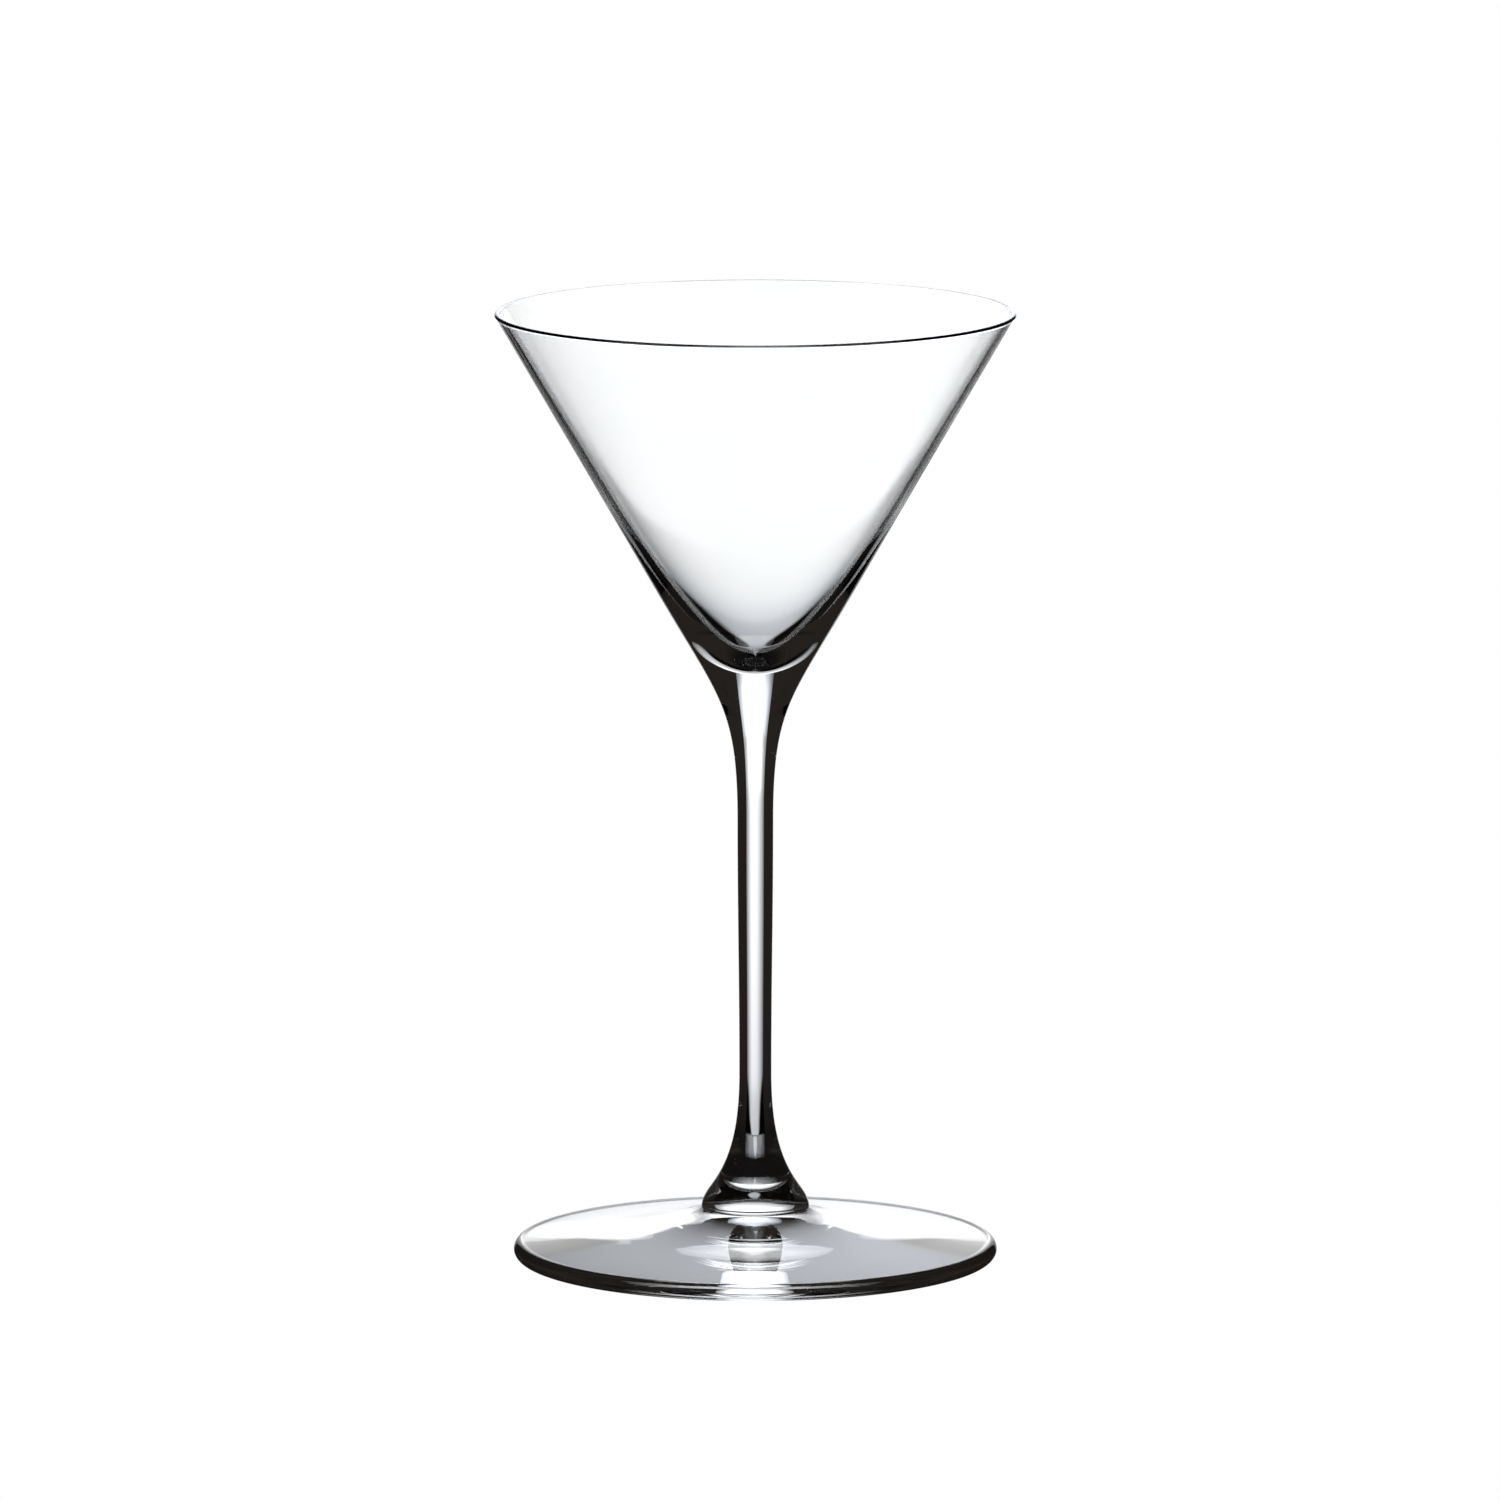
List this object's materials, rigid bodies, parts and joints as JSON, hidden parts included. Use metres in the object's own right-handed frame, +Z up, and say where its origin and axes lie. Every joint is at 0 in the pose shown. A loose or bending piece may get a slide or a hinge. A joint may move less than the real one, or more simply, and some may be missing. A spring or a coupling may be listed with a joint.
{
  "type": "martini glass",
  "caption": "Stemmed cocktail glass with a conical bowl, a drawn stem flared at both ends and a shallow round foot.",
  "frame": {"origin": "centre of the face that the foot rests on", "axes": "+Z up along the stem, from the foot to the bowl's mouth; the glass is round about Z, so X and Y are free"},
  "size_m": [0.087, 0.087, 0.16],
  "materials": {
    "bowl_crystal": "clear crystal, blown and fire-polished",
    "stem_crystal": "clear crystal, drawn and fire-polished",
    "foot_crystal": "clear crystal, pressed and fire-polished"
  },
  "bodies": {
    "root": {"bowl": "bowl_crystal", "stem": "stem_crystal", "foot": "foot_crystal"}
  },
  "joints": []
}
